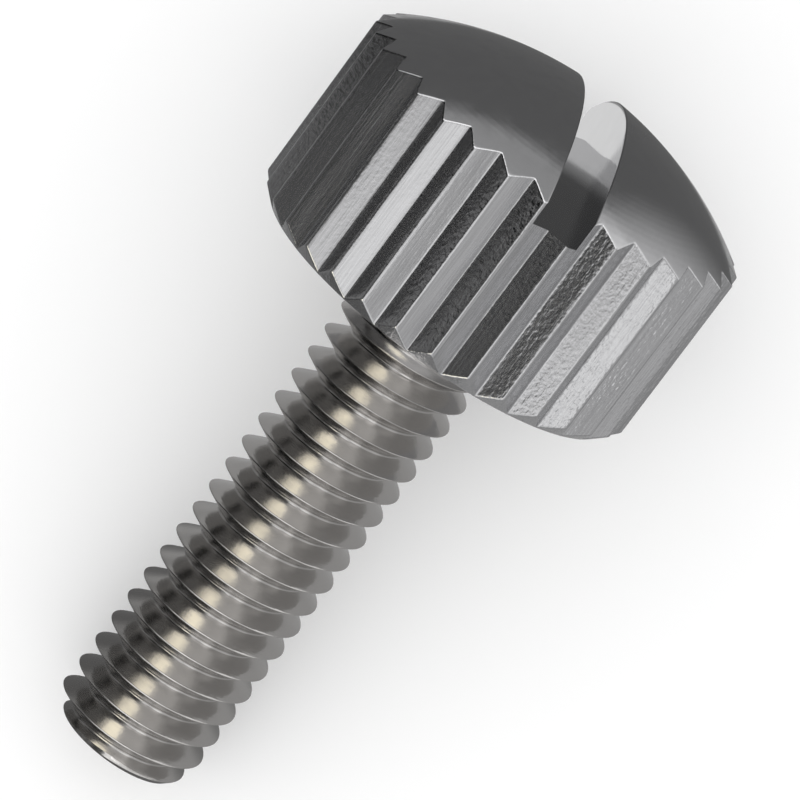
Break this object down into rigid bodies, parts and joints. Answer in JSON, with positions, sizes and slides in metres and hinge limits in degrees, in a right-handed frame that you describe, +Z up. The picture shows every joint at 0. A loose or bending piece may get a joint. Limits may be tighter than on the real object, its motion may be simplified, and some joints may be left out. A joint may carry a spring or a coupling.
{
  "type": "thumb screw",
  "caption": "Slotted thumb screw with a domed, straight-knurled head and a fully threaded metric shank, turned in one piece.",
  "frame": {"origin": "on the floor under the middle of the screw's length, with the screw lying as it comes to rest", "axes": "+X runs along the lying screw from its tip to its domed head, +Z is up, and the screw's own axis climbs 13.6 degrees from the tip to the head"},
  "size_m": [0.0202, 0.0106, 0.0113],
  "materials": {
    "plated_metal": "bright nickel plate over turned metal, with rolled knurl flanks left a little rough"
  },
  "bodies": {
    "root": {"thumb_screw": "plated_metal"}
  },
  "joints": []
}
